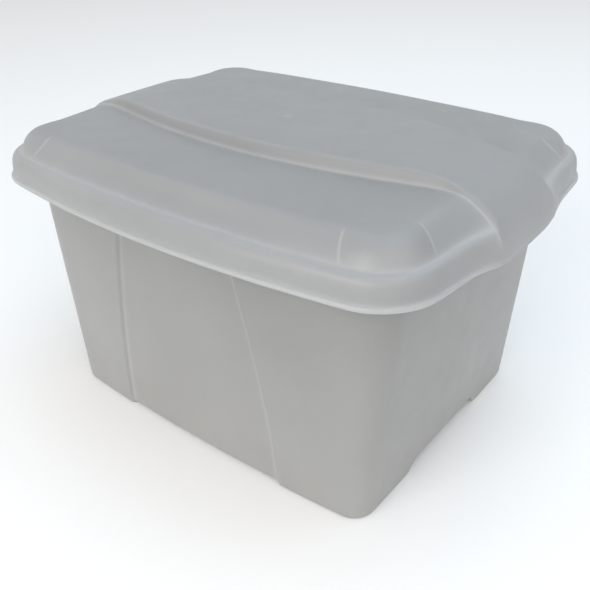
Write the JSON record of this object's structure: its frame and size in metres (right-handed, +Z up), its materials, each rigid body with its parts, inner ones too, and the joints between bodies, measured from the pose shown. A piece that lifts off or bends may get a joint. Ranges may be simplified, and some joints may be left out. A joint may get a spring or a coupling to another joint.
{
  "type": "stackable storage bin",
  "caption": "Rectangular translucent plastic storage bin with bowed sides, drafted walls, corner feet and a domed lift-off lid with a raised deck along its middle.",
  "frame": {"origin": "centre of the plane the four corner feet stand on", "axes": "+X along the long side towards one end grip, +Y across towards the other long side, +Z up"},
  "size_m": [0.539, 0.418, 0.3205],
  "materials": {
    "bin_plastic": "translucent milky polypropylene, satin",
    "lid_plastic": "translucent milky polypropylene, satin"
  },
  "bodies": {
    "bin": {"bin": "bin_plastic"},
    "lid": {"lid": "lid_plastic"}
  },
  "joints": [
    {"name": "lid_lift", "type": "slide", "parent": "bin", "child": "lid", "axis": [0, 0, 1], "range_m": [0, 0.3]}
  ]
}
